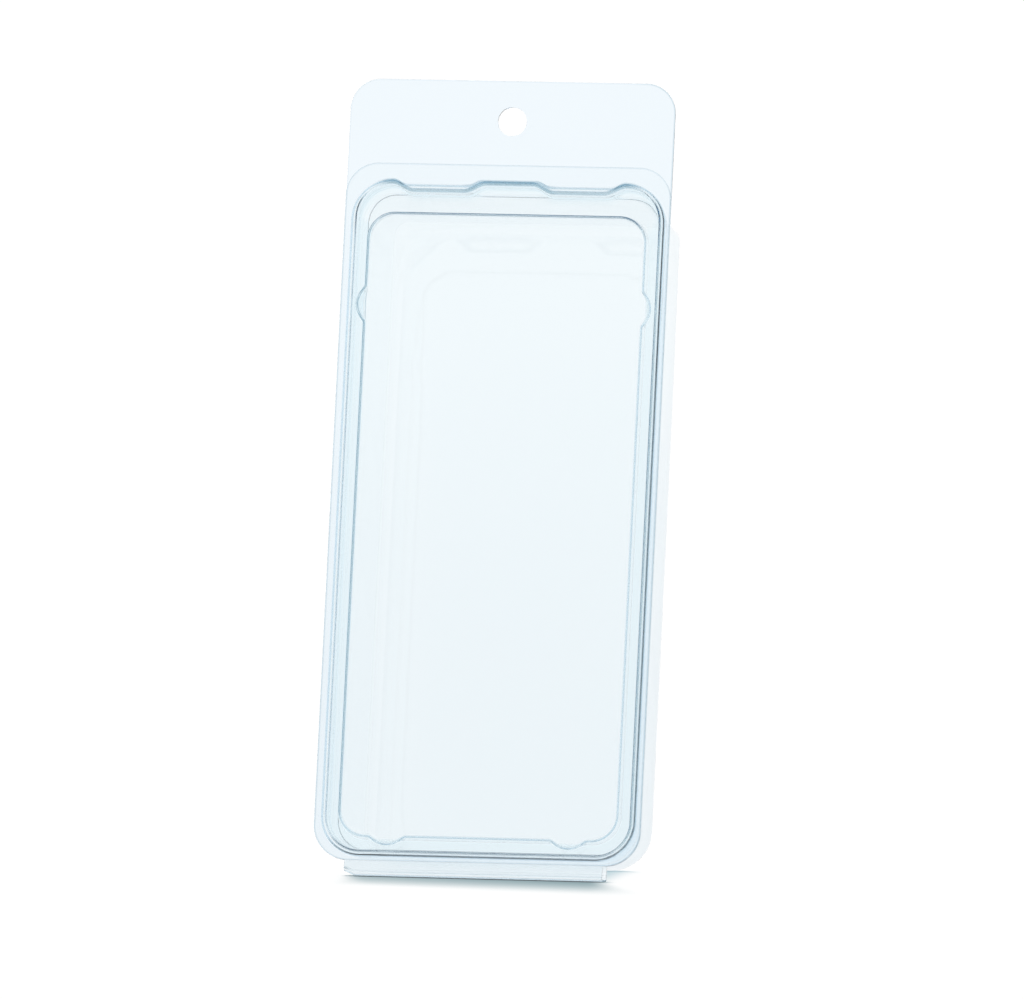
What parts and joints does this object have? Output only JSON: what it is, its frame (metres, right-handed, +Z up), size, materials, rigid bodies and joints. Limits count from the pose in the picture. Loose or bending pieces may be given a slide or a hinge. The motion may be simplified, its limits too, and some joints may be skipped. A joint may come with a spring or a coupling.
{
  "type": "clear hanging clamshell pack",
  "caption": "Clear formed plastic pack: a deep tray with a hanging header and a peg hole, closed by a flat plug-fit lid that swings on a fold along the bottom edge.",
  "frame": {"origin": "middle of the floor under the standing pack", "axes": "+Z up; -Y to the front, where the lid is; +X to the right as the front is looked at"},
  "size_m": [0.0884, 0.0894, 0.2151],
  "materials": {
    "tray_sheet": "clear glossy formed sheet",
    "lid_sheet": "clear glossy formed sheet"
  },
  "bodies": {
    "tray": {"tray": "tray_sheet"},
    "lid": {"lid": "lid_sheet"}
  },
  "joints": [
    {"name": "lid_fold", "type": "hinge", "parent": "tray", "child": "lid", "pos_m": [0, -0.04383, 0.0009], "axis": [1, 0, 0], "range_deg": [0, 95]}
  ]
}
